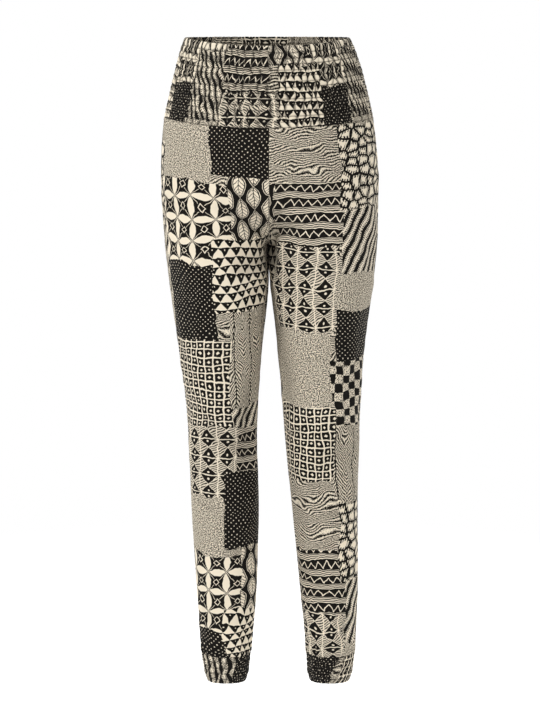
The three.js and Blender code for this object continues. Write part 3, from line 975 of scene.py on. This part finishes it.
class Finish:
    """One material and its nodes."""

    def __init__(self, name):
        self.material = bpy.data.materials.new(name)
        self.material.use_nodes = True
        self.tree = self.material.node_tree
        self.tree.nodes.clear()

    def node(self, kind, settings, inputs):
        """Adds a node. Its settings are set first, then the values or links of its sockets."""
        node = self.tree.nodes.new("ShaderNode" + kind)
        for setting, value in settings.items():
            setattr(node, setting, value)
        for key, value in inputs.items():
            socket = node.inputs[key] if isinstance(key, int) else self.named(node.inputs, key)
            if isinstance(value, Value):
                self.tree.links.new(value.socket, socket)
            elif isinstance(value, bpy.types.NodeSocket):
                self.tree.links.new(value, socket)
            else:
                socket.default_value = value
        return node

    def named(self, sockets, key):
        return next(socket for socket in sockets if key in (socket.identifier, socket.name))

    def math(self, operation, *values, clamp=False):
        node = self.node("Math", {"operation": operation, "use_clamp": clamp}, dict(enumerate(values)))
        return Value(self, node.outputs[0])

    def noise(self, x, y, detail=1.0, roughness=0.5):
        """A noise's value and its colour, which holds three more."""
        inputs = {"Vector": self.place(x, y), "Scale": 1.0, "Detail": detail, "Roughness": roughness}
        node = self.node("TexNoise", {"noise_dimensions": "2D"}, inputs)
        return Value(self, node.outputs["Fac"]), node.outputs["Color"]

    def split(self, vector):
        node = self.node("SeparateXYZ", {}, {0: vector})
        return [Value(self, output) for output in node.outputs]

    def place(self, x, y):
        return self.node("CombineXYZ", {}, {"X": x, "Y": y}).outputs[0]

    def blend(self, share, a, b):
        """A colour between two colours."""
        settings = {"data_type": "RGBA", "clamp_factor": True}
        node = self.node("Mix", settings, {"Factor_Float": share, "A_Color": a, "B_Color": b})
        return self.named(node.outputs, "Result_Color")

    def above(self, value, edge, soft):
        """1 where a value is over an edge and 0 under it, with a soft step."""
        return self.math("MULTIPLY_ADD", value, 1 / soft, 0.5 - edge / soft, clamp=True)

    def below(self, value, edge, soft):
        return self.math("MULTIPLY_ADD", value, -1 / soft, 0.5 + edge / soft, clamp=True)

    def cell(self, value, pitch):
        """Where a value lies in its cell, from -0.5 to 0.5."""
        return (value / pitch).math("FRACT") - 0.5

    def wave(self, turns):
        """A wave between -1 and 1, once for each whole turn."""
        return (turns * (2 * math.pi)).math("SINE")


BLACK = (0.0070, 0.0058, 0.0046, 1.0)
CREAM = (0.860, 0.765, 0.605, 1.0)
# The wrong side of the cloth: its black is greyer and its print weaker.
WRONG_BLACK = (0.045, 0.038, 0.030, 1.0)
WRONG_FADE = 0.42
WRONG_LIGHT = 0.1
# How much the painted shade darkens the print's cream where it is deepest.
PAINTED_SHADE_DARKNESS = 0.84
YARN_PITCH = 0.62
YARN_HEIGHT = 0.00002
ROUGHEST = 0.93
PRINT_SMOOTHS = 0.08
THREAD_DARK = (0.018, 0.015, 0.012, 1.0)
THREAD_LIGHT = (0.05, 0.043, 0.035, 1.0)


# ---------------------------------------------------------------- the print
# Each motif gives the share of cream at a place on the cloth, across and down in millimetres. Its edges
# are given in shares of its own cell, where it has one, and a soft step follows each edge.
def drawn_lines(f, turns, grain, rough, edge, soft):
    """Lines as if drawn by hand: one for each turn of a wave, with edges that the grain breaks up."""
    return f.above(f.wave(turns) + (grain - 0.5) * rough, edge, soft)


def speckle(f, x, y, grain):
    return f.above(grain, 0.505, 0.22)


def pin_dots(f, x, y, grain):
    """Two even rows of dots, half a step apart."""
    pitch = 8.2

    def away(shift):
        u, v = f.cell(x + shift, pitch), f.cell(y + shift, pitch)
        return (u * u + v * v).math("SQRT")

    return f.below(away(0.0).math("MINIMUM", away(pitch / 2)), 0.095, 0.04)


def ruled_grid(f, x, y, grain):
    """Ruled squares, each with a small lozenge in its middle."""
    pitch = 12.6
    u, v = abs(f.cell(x, pitch)), abs(f.cell(y, pitch))
    lines = f.above(u.math("MAXIMUM", v), 0.418, 0.04)
    return lines.math("MAXIMUM", f.below(u + v, 0.19, 0.05))


def hourglass(f, x, y, grain):
    """Framed squares, crossed from corner to corner, with two hatched triangles and two black ones."""
    pitch, hatch_pitch, hatch_slope = 29.0, 3.7, 0.45
    u, v = abs(f.cell(x, pitch)), abs(f.cell(y, pitch))
    hatch = f.above(abs(f.cell(y + x * hatch_slope, hatch_pitch)), 0.27, 0.3)
    seed = f.below((u * u + (v - 0.33) * (v - 0.33)).math("SQRT"), 0.055, 0.02)
    inside = hatch + (seed - hatch) * f.above(v - u, 0.0, 0.03)
    frame_line = f.above(u.math("MAXIMUM", v), 0.472, 0.02)
    crossing = f.below(abs(u - v), 0.02, 0.02)
    return inside.math("MAXIMUM", frame_line).math("MAXIMUM", crossing)


def sawtooth(f, x, y, grain):
    """Rows of black teeth on cream, each row half a tooth along, with a light seed in each tooth."""
    tall, wide = 13.0, 17.0
    row = (y / tall).math("FLOOR")
    v = (y / tall).math("FRACT")
    u = abs(f.cell(x + row * (wide / 2), wide))
    tooth = f.below(u * 1.8 + v, 0.97, 0.05)
    seed = f.below((u * u * 1.7 + (v - 0.3) * (v - 0.3)).math("SQRT"), 0.07, 0.03)
    return (1 - tooth).math("MAXIMUM", seed)


def interlaced_rings(f, x, y, grain):
    """Rings that overlap in petals, with rays and a lozenge between them."""
    pitch = 33.0
    u, v = abs(f.cell(x, pitch)), abs(f.cell(y, pitch))
    beside = (1 - u) * (1 - u) + v * v
    over = u * u + (1 - v) * (1 - v)
    petal = f.below(beside.math("MINIMUM", over), 0.452, 0.025)
    lozenge = f.below(abs(u + v - 0.15), 0.024, 0.02)
    rays = f.below(abs(u - v), 0.014, 0.018) * f.above(u + v, 0.26, 0.02)
    return petal.math("MAXIMUM", lozenge).math("MAXIMUM", rays)


def chevron_bands(f, x, y, grain):
    """Bands of a zigzag over small diamonds, with ruled bands between."""
    band, tooth, slope, rule = 24.0, 14.0, 18.0, 2.9
    v = (y / band).math("FRACT") * band
    zigzag = abs(f.cell(x, tooth)) * slope
    line = f.below(abs(v - 3.0 - zigzag), 1.05, 0.5)
    ruled = f.above(abs(f.cell(v, rule)), 0.27, 0.14) * f.above(v, 14.6, 0.4)
    diamonds = f.below(abs(f.cell(x + tooth / 2, tooth)) * tooth + abs(v - 11.6), 1.5, 0.5)
    return line.math("MAXIMUM", ruled).math("MAXIMUM", diamonds)


def ripples(f, x, y, grain):
    """Level lines, bent like the grain of wood."""
    pitch, slope, bend = 3.9, 0.12, 8.0
    broad, _ = f.noise(x / 52.0, y / 34.0)
    return drawn_lines(f, (y + x * slope) / pitch + broad * bend, grain, 3.6, 0.24, 1.5)


def fern(f, x, y, grain):
    """Upright ribs with slanting strokes on both sides."""
    apart, pitch, slope, bend = 34.0, 6.0, 1.5, 3.4
    u = abs(f.cell(x, apart)) * apart
    broad, _ = f.noise(u / 20.0, y / 34.0)
    strokes = drawn_lines(f, (y - u * slope) / pitch + broad * bend, grain, 3.6, 0.18, 1.4)
    return strokes * f.above(u, 0.9, 0.4)


def leaf_rows(f, x, y, grain):
    """Upright rows of veined leaves in their outlines, each row half a leaf down."""
    wide, long = 22.0, 38.0
    row = (x / wide).math("FLOOR")
    u = abs(f.cell(x, wide)) * wide
    w = f.cell(y + row * (long / 2), long) * long
    width = 8.2 - w * w / 32.0
    leaf = f.above(width - u, 0.0, 0.5)
    midrib = f.below(u, 0.55, 0.35)
    vein = f.below(abs(f.cell(w - u * 0.8, 5.2)), 0.12, 0.1)
    outline = f.below(abs(width - u + 2.0), 0.45, 0.35)
    return (leaf * (1 - midrib) * (1 - vein * 0.9)).math("MAXIMUM", outline)


def slanting_stripes(f, x, y, grain):
    """Slanting stripes, each a hatched band with a plain line in its middle."""
    wide, hatch_pitch, down, across = 15.0, 2.7, 0.5, 0.86
    stripe = abs(f.cell(x * across + y * down, wide))
    hatch = drawn_lines(f, (y * across - x * down) / hatch_pitch, grain, 3.0, 0.0, 0.9)
    return f.below(stripe, 0.3, 0.05) * hatch.math("MAXIMUM", f.below(stripe, 0.08, 0.04))


def checks(f, x, y, grain):
    """Black squares, and squares of speckle between them."""
    pitch = 27.0
    odd = f.above(f.cell(x, pitch) * f.cell(y, pitch), 0.0, 0.012)
    return f.above(grain, 0.45, 0.08) * odd


def pebbles(f, x, y, grain):
    """Rounded stones with plain hearts and hatched rims."""
    wide, tall, hatch_pitch, hatch_slope = 19.0, 15.0, 4.4, 0.4
    node = f.node(
        "TexVoronoi",
        {"voronoi_dimensions": "2D", "feature": "DISTANCE_TO_EDGE"},
        {"Vector": f.place(x / wide, y / tall), "Scale": 1.0, "Randomness": 0.72},
    )
    edge = Value(f, node.outputs["Distance"])
    hatch = drawn_lines(f, (x + y * hatch_slope) / hatch_pitch, grain, 2.5, 0.1, 0.8)
    heart = f.above(edge, 0.27, 0.04)
    return f.above(edge, 0.1, 0.035) * (heart + hatch - heart * hatch)


MOTIFS = [
    ripples, speckle, pin_dots, ruled_grid, hourglass, sawtooth, interlaced_rings, chevron_bands, fern,
    leaf_rows, slanting_stripes, checks, pebbles,
]
REPEAT = (430.0, 590.0)
# How far the drawn lines and the patches' edges stray, over what length, and how fine the grain is.
LINE_STRAY = 5.2
LINE_LENGTH = 15.0
EDGE_STRAY = 16.0
EDGE_LENGTH = 70.0
GRAIN = 1.7
# Patches of the repeat, painted one over another: motif, left, top, right, bottom.
PATCHES = [
    (hourglass, 0, 0, 118, 112),
    (speckle, 0, 112, 96, 208),
    (interlaced_rings, 0, 208, 122, 332),
    (pin_dots, 0, 332, 92, 452),
    (ruled_grid, 0, 452, 110, 590),
    (chevron_bands, 118, 0, 214, 74),
    (pin_dots, 96, 74, 196, 196),
    (leaf_rows, 122, 196, 222, 300),
    (sawtooth, 92, 300, 200, 408),
    (fern, 110, 408, 214, 556),
    (slanting_stripes, 110, 556, 214, 590),
    (ruled_grid, 214, 0, 322, 120),
    (ripples, 196, 120, 322, 236),
    (chevron_bands, 222, 236, 330, 340),
    (hourglass, 200, 340, 326, 470),
    (speckle, 214, 470, 318, 590),
    (fern, 322, 36, 430, 156),
    (pebbles, 322, 156, 430, 284),
    (slanting_stripes, 330, 284, 430, 384),
    (speckle, 326, 384, 430, 440),
    (pin_dots, 326, 440, 430, 520),
    (checks, 318, 520, 430, 590),
    (checks, 322, 0, 430, 36),
]


def print_light(f, across, down):
    """The share of cream in the printed cloth, from the place on it in millimetres."""
    _, drift = f.noise(across / LINE_LENGTH, down / LINE_LENGTH, 2.0, 0.55)
    drift_x, drift_y, _ = f.split(drift)
    x = across + (drift_x - 0.5) * LINE_STRAY
    y = down + (drift_y - 0.5) * LINE_STRAY
    grain, _ = f.noise(across / GRAIN, down / GRAIN, 1.0, 0.6)
    _, wander = f.noise(across / EDGE_LENGTH, down / EDGE_LENGTH, 2.0)
    wander_x, wander_y, _ = f.split(wander)
    patch_x = ((x + (wander_x - 0.5) * EDGE_STRAY) / REPEAT[0]).math("FRACT") * REPEAT[0]
    patch_y = ((y + (wander_y - 0.5) * EDGE_STRAY) / REPEAT[1]).math("FRACT") * REPEAT[1]
    patch = None
    for motif, left, top, right, bottom in PATCHES:
        in_x = patch_x.math("COMPARE", (left + right) / 2, (right - left) / 2)
        in_y = patch_y.math("COMPARE", (top + bottom) / 2, (bottom - top) / 2)
        number = MOTIFS.index(motif)
        inside = in_x * in_y
        patch = inside * number if patch is None else patch + (number - patch) * inside
    light = ripples(f, x, y, grain)
    for number, motif in enumerate(MOTIFS[1:], 1):
        chosen = patch.math("COMPARE", float(number), 0.5)
        light = light + (motif(f, x, y, grain) - light) * chosen
    return light


def cloth_finish(name, wrinkle_across, wrinkle_down, wrinkle_depth):
    """Thin matt printed cloth: its print, weave and fine wrinkles, sized in millimetres."""
    f = Finish(name)
    uv = f.node("UVMap", {"uv_map": "Cloth"}, {}).outputs[0]
    across, down, _ = f.split(uv)
    across, down = across * 1000.0, down * 1000.0
    light = print_light(f, across, down)
    wrong = Value(f, f.node("Attribute", {"attribute_name": "wrong_side"}, {}).outputs["Fac"])
    light = light * (1 - wrong * WRONG_FADE) + wrong * WRONG_LIGHT
    ink = f.blend(wrong, BLACK, WRONG_BLACK)
    # Painted shade: the shade attribute darkens the print's cream in creases, shirring valleys and the
    # cleft.
    shade = Value(f, f.node("Attribute", {"attribute_name": "shade"}, {}).outputs["Fac"])
    colour = f.blend(light * (1 - shade * PAINTED_SHADE_DARKNESS), ink, CREAM)
    weave = f.wave(across / YARN_PITCH) * f.wave(down / YARN_PITCH)
    fine, _ = f.noise(across / wrinkle_across, down / wrinkle_down, 3.0)
    height = fine * (wrinkle_depth * MM) + weave * YARN_HEIGHT
    bump = f.node("Bump", {}, {"Strength": 1.0, "Distance": 1.0, "Height": height})
    shader = f.node(
        "BsdfPrincipled",
        {},
        {
            "Base Color": colour,
            "Roughness": ROUGHEST - light * PRINT_SMOOTHS,
            "Normal": bump.outputs[0],
            "Sheen Weight": 0.02,
            "Sheen Roughness": 0.5,
            "Specular IOR Level": 0.14,
        },
    )
    f.node("OutputMaterial", {}, {"Surface": shader.outputs[0]})
    return f.material


def thread_finish():
    """Matt spun thread."""
    f = Finish("charcoal_thread")
    place = f.node("TexCoord", {}, {}).outputs["Object"]
    twist = f.node("TexNoise", {}, {"Vector": place, "Scale": 2600.0, "Detail": 2.0})
    shade = Value(f, twist.outputs["Fac"])
    colour = f.blend(shade, THREAD_DARK, THREAD_LIGHT)
    bump = f.node("Bump", {}, {"Strength": 0.4, "Distance": 0.0001, "Height": shade})
    shader = f.node(
        "BsdfPrincipled",
        {},
        {
            "Base Color": colour,
            "Roughness": 0.75 + shade * 0.2,
            "Normal": bump.outputs[0],
            "Sheen Weight": 0.2,
        },
    )
    f.node("OutputMaterial", {}, {"Surface": shader.outputs[0]})
    return f.material


# ---------------------------------------------------------------- stitches
# Each stitch is a bead of thread: how far apart they are, how long and how thick.
STITCH = SimpleNamespace(pitch=3.1, length=2.5, thickness=0.5)
STITCH_SEED = 5
SHORTEST = 0.82
LONGEST = 1.1
# A row's line has so many points for each gather, and lies so far out of the cloth.
THREAD_POINTS = 6
THREAD_OUT = 0.12
THREAD_END = 0.12


def stitch_tree():
    """Geometry nodes that lay a short bead of thread along each edge line, one every pitch."""
    tree = bpy.data.node_groups.new("stitches_along_lines", "GeometryNodeTree")
    tree.interface.new_socket("Lines", in_out="INPUT", socket_type="NodeSocketGeometry")
    for socket in ("Pitch", "Length", "Thickness"):
        tree.interface.new_socket(socket, in_out="INPUT", socket_type="NodeSocketFloat")
    tree.interface.new_socket("Thread", in_out="INPUT", socket_type="NodeSocketMaterial")
    tree.interface.new_socket("Stitches", in_out="OUTPUT", socket_type="NodeSocketGeometry")

    def add(kind, settings, links):
        node = tree.nodes.new(kind)
        for setting, value in settings.items():
            setattr(node, setting, value)
        for key, value in links.items():
            if isinstance(value, bpy.types.NodeSocket):
                tree.links.new(value, node.inputs[key])
            else:
                node.inputs[key].default_value = value
        return node

    given = add("NodeGroupInput", {}, {}).outputs
    line = add("GeometryNodeMeshToCurve", {}, {"Mesh": given["Lines"]})
    even = add(
        "GeometryNodeResampleCurve", {"mode": "LENGTH"}, {"Curve": line.outputs[0], "Length": given["Pitch"]}
    )
    heading = add("GeometryNodeInputTangent", {}, {})
    turn = add("FunctionNodeAlignRotationToVector", {"axis": "X"}, {"Vector": heading.outputs[0]})
    bead = add("GeometryNodeMeshIcoSphere", {}, {"Radius": 0.5, "Subdivisions": 1})
    size = add(
        "ShaderNodeCombineXYZ", {}, {"X": given["Length"], "Y": given["Thickness"], "Z": given["Thickness"]}
    )
    varied = add(
        "FunctionNodeRandomValue", {"data_type": "FLOAT"}, {2: SHORTEST, 3: LONGEST, "Seed": STITCH_SEED}
    )
    scaled = add(
        "ShaderNodeVectorMath", {"operation": "SCALE"}, {0: size.outputs[0], "Scale": varied.outputs[1]}
    )
    laid = add(
        "GeometryNodeInstanceOnPoints",
        {},
        {
            "Points": even.outputs[0],
            "Instance": bead.outputs["Mesh"],
            "Rotation": turn.outputs[0],
            "Scale": scaled.outputs[0],
        },
    )
    real = add("GeometryNodeRealizeInstances", {}, {"Geometry": laid.outputs[0]})
    dressed = add(
        "GeometryNodeSetMaterial", {}, {"Geometry": real.outputs[0], "Material": given["Thread"]}
    )
    add("NodeGroupOutput", {}, {0: dressed.outputs[0]})
    return tree


def stitches(name, lines, tree, thread):
    """Lays stitches along lines of points and returns them as a plain mesh."""
    points, edges, count = [], [], 0
    for line in lines:
        points.append(line)
        edges.append(np.stack([np.arange(len(line) - 1), np.arange(1, len(line))], axis=-1) + count)
        count += len(line)
    mesh = bpy.data.meshes.new(name + "_lines")
    mesh.from_pydata((np.concatenate(points) * MM).tolist(), np.concatenate(edges).tolist(), [])
    source = bpy.data.objects.new(name + "_lines", mesh)
    bpy.context.scene.collection.objects.link(source)
    modifier = source.modifiers.new("stitches", "NODES")
    modifier.node_group = tree
    values = {
        "Pitch": STITCH.pitch * MM,
        "Length": STITCH.length * MM,
        "Thickness": STITCH.thickness * MM,
        "Thread": thread,
    }
    for item in tree.interface.items_tree:
        if item.in_out == "INPUT" and item.name in values:
            modifier[item.identifier] = values[item.name]
    graph = bpy.context.evaluated_depsgraph_get()
    laid = bpy.data.meshes.new_from_object(source.evaluated_get(graph), depsgraph=graph)
    source.modifiers.remove(modifier)
    bpy.data.objects.remove(source)
    laid.name = name
    laid.shade_smooth()
    piece = bpy.data.objects.new(name, laid)
    bpy.context.scene.collection.objects.link(piece)
    return piece


def band_threads(face_name, shirring):
    face = FACES[face_name]
    step = np.linspace(THREAD_END, BAND.gathers - THREAD_END, THREAD_POINTS * BAND.gathers)
    lines = []
    for row in range(BAND.threads):
        down = np.full(step.shape, BAND.header + row * shirring.pitch)
        out = band_relief(shirring, step, down) + THREAD_OUT
        lines.append(band_place(face, shirring.place(step, down), down, out))
    return lines


def cuff_threads(side_name, shirring):
    side = SIDES[side_name]
    step = np.linspace(0, CUFF.gathers, THREAD_POINTS * CUFF.gathers + 1)
    lines = []
    for row in range(CUFF.threads):
        up = np.full(step.shape, CUFF.header + row * shirring.pitch)
        out = shirring.at(step, up) + THREAD_OUT
        lines.append(cuff_place(side, shirring.place(step, up), up, out))
    return lines


# ---------------------------------------------------------------- the pieces
leg_cloth = cloth_finish("printed_leg_cloth", 14.0, 17.0, 0.5)
shirred_cloth = cloth_finish("printed_shirred_cloth", 3.4, 9.0, 0.55)
thread = thread_finish()
tree = stitch_tree()

for face_name in FACES:
    for side_name in SIDES:
        node = "leg_" + face_name + "_" + side_name
        leg = leg_panel(side_name, face_name, leg_cloth)
        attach(leg, "root")
        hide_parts(node)
    band, shirring = waistband(face_name, shirred_cloth)
    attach(band, "root")
    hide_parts("waistband_" + face_name)
    row = stitches("waistband_" + face_name + "_stitches", band_threads(face_name, shirring), tree, thread)
    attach(row, "root")

for side_name in SIDES:
    hem, shirring = cuff(side_name, shirred_cloth)
    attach(hem, "root")
    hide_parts("cuff_" + side_name)
    row = stitches("cuff_" + side_name + "_stitches", cuff_threads(side_name, shirring), tree, thread)
    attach(row, "root")

# ---------------------------------------------------------------- floor, light and camera
# All in metres. The floor runs back, sweeps up and goes on as a wall. For the camera alone it fades away
# with its distance from the middle, into the white room.
FLOOR = float(cad_box[0][2]) - 0.16
FLOOR_HALF = 6.0
FLOOR_BACK = 2.6
SWEEP = 1.6
WALL_RISE = 3.4
FLOOR_REACH = 1.0
FLOOR_FADE = 1.2
PALE_GREY = (0.93, 0.93, 0.93, 1.0)
ROOM_LIGHT = 0.38


def studio_floor():
    run = np.linspace(-FLOOR_HALF, FLOOR_BACK, 24)
    angle = np.linspace(0, math.pi / 2, 17)[1:]
    rise = np.linspace(0, WALL_RISE, 8)[1:]
    y = np.concatenate([run, FLOOR_BACK + SWEEP * np.sin(angle), 0 * rise + FLOOR_BACK + SWEEP])
    z = np.concatenate([0 * run, SWEEP * (1 - np.cos(angle)), SWEEP + rise]) + FLOOR
    x = np.linspace(-FLOOR_HALF, FLOOR_HALF, 25)
    points = np.stack(np.broadcast_arrays(x, y[:, None], z[:, None]), axis=-1)
    numbers = np.arange(len(y) * len(x)).reshape(len(y), len(x))
    mesh = bpy.data.meshes.new("studio_floor")
    mesh.from_pydata(points.reshape(-1, 3).tolist(), [], corners(numbers)[:, ::-1].tolist())
    mesh.shade_smooth()
    f = Finish("pale_floor")
    along, away, _ = f.split(f.node("TexCoord", {}, {}).outputs["Object"])
    reach = (along * along + away * away).math("SQRT")
    seen = Value(f, f.node("LightPath", {}, {}).outputs["Is Camera Ray"])
    faded = f.above(reach, FLOOR_REACH, FLOOR_FADE) * seen
    shader = f.node(
        "BsdfPrincipled", {}, {"Base Color": PALE_GREY, "Roughness": 0.9, "Alpha": 1 - faded}
    )
    f.node("OutputMaterial", {}, {"Surface": shader.outputs[0]})
    mesh.materials.append(f.material)
    floor = bpy.data.objects.new("studio_floor", mesh)
    bpy.context.scene.collection.objects.link(floor)
    floor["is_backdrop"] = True


def soft_light(name, place, target, size, power_w):
    light = bpy.data.lights.new(name, "AREA")
    light.shape = "RECTANGLE"
    light.size, light.size_y = size
    light.energy = power_w
    lamp = bpy.data.objects.new(name, light)
    lamp.location = place
    lamp.rotation_euler = (Vector(target) - Vector(place)).to_track_quat("-Z", "Y").to_euler()
    bpy.context.scene.collection.objects.link(lamp)


def white_room():
    """A world that the camera sees as white, and that lights the garment more gently."""
    world = bpy.data.worlds.new("white_room")
    world.use_nodes = True
    nodes, links = world.node_tree.nodes, world.node_tree.links
    background = nodes["Background"]
    background.inputs["Color"].default_value = (1, 1, 1, 1)
    seen = nodes.new("ShaderNodeLightPath")
    strength = nodes.new("ShaderNodeMapRange")
    strength.inputs["To Min"].default_value = ROOM_LIGHT
    strength.inputs["To Max"].default_value = 1.0
    links.new(seen.outputs["Is Camera Ray"], strength.inputs["Value"])
    links.new(strength.outputs["Result"], background.inputs["Strength"])
    bpy.context.scene.world = world


studio_floor()
soft_light("key_light", place=(-2.0, -2.0, 1.7), target=(0, 0, -0.45), size=(0.9, 1.2), power_w=65)
soft_light("fill_light", place=(2.2, -2.6, 0.2), target=(0, 0, -0.55), size=(1.6, 2.2), power_w=23)
soft_light("back_wall_light", place=(0, 1.0, 1.9), target=(0, 3.6, -0.6), size=(4.0, 1.2), power_w=160)
white_room()
bpy.context.scene.view_settings.view_transform = "Standard"

# The camera looks at the garment's middle from a little above.
TARGET = Vector((0.0015, 0.0, -0.4962))
CAMERA_AWAY = 3.1
CAMERA_TILT = math.radians(10)
camera_data = bpy.data.cameras.new("camera")
camera_data.lens = 99.4
camera_data.sensor_width = 36.0
camera = bpy.data.objects.new("camera", camera_data)
camera.location = TARGET + CAMERA_AWAY * Vector((0, -math.cos(CAMERA_TILT), math.sin(CAMERA_TILT)))
camera.rotation_euler = (TARGET - camera.location).to_track_quat("-Z", "Y").to_euler()
bpy.context.scene.collection.objects.link(camera)
bpy.context.scene.camera = camera

dressed_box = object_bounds()
boxes = {"cad": cad_box, "visual": dressed_box}
{name: [[float(v) for v in corner] for corner in box] for name, box in boxes.items()}
